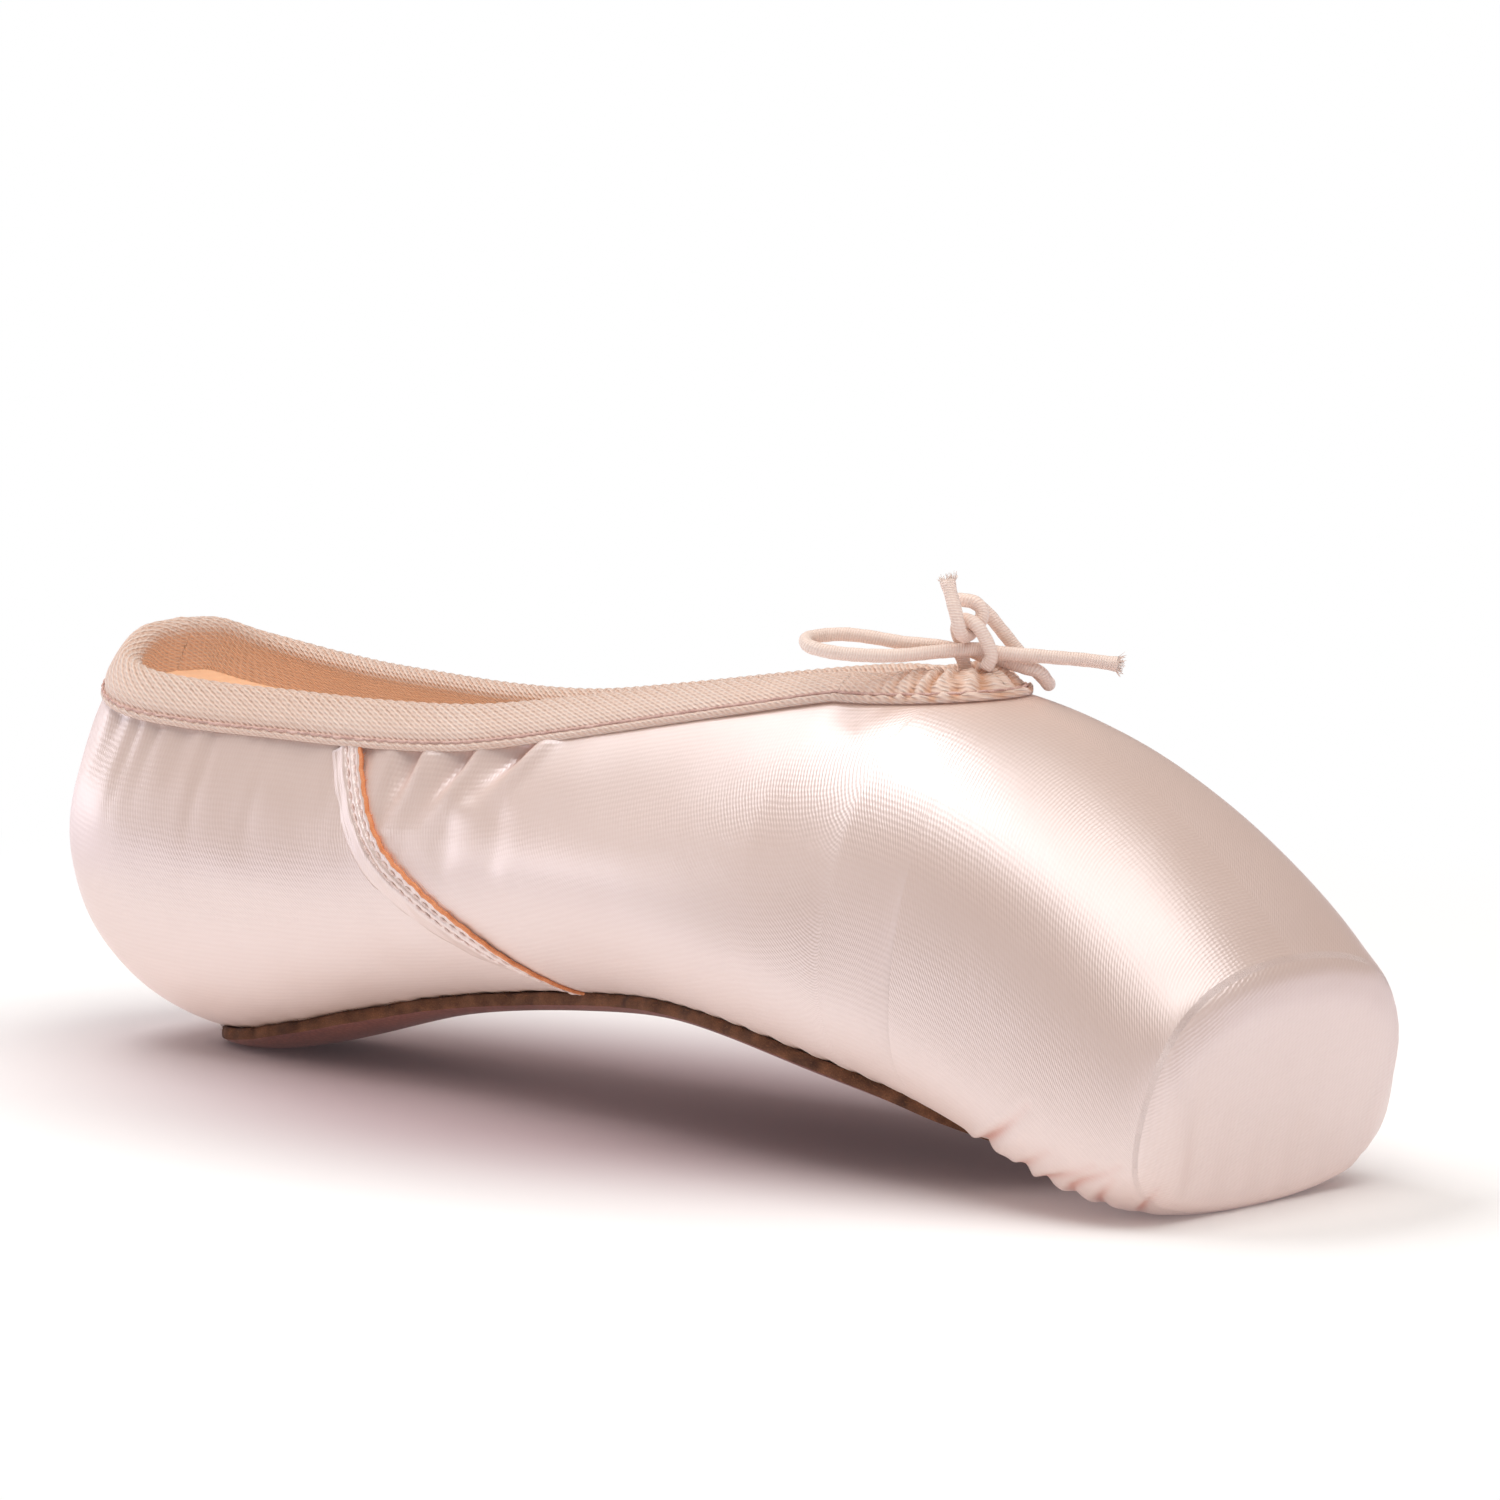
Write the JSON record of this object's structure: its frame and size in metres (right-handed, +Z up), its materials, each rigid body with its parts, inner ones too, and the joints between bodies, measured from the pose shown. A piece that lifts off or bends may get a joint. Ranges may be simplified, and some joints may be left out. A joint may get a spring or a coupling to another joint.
{
  "type": "pointe shoe",
  "caption": "Satin pointe shoe with a hollow upper, flat box platform, leather outsole, insole, bound collar and a drawstring bow.",
  "frame": {"origin": "middle of the shoe's box on the floor under it, measured without the drawstring", "axes": "+X to the toe, +Y to the wearer's left side of the shoe, +Z up"},
  "size_m": [0.2416, 0.0676, 0.0848],
  "materials": {
    "satin": "pale pink satin with a broad sheen",
    "binding": "peach twill tape",
    "outsole": "reddish brown leather with a raw tan edge",
    "insole": "warm cotton over board",
    "elastic": "braided elastic cord"
  },
  "bodies": {
    "root": {"upper": "satin", "outsole": "outsole", "insole": "insole", "collar_binding": "binding", "left_seam_band": "satin", "right_seam_band": "satin", "drawstring_left_loop": "elastic", "drawstring_right_loop": "elastic"}
  },
  "joints": []
}
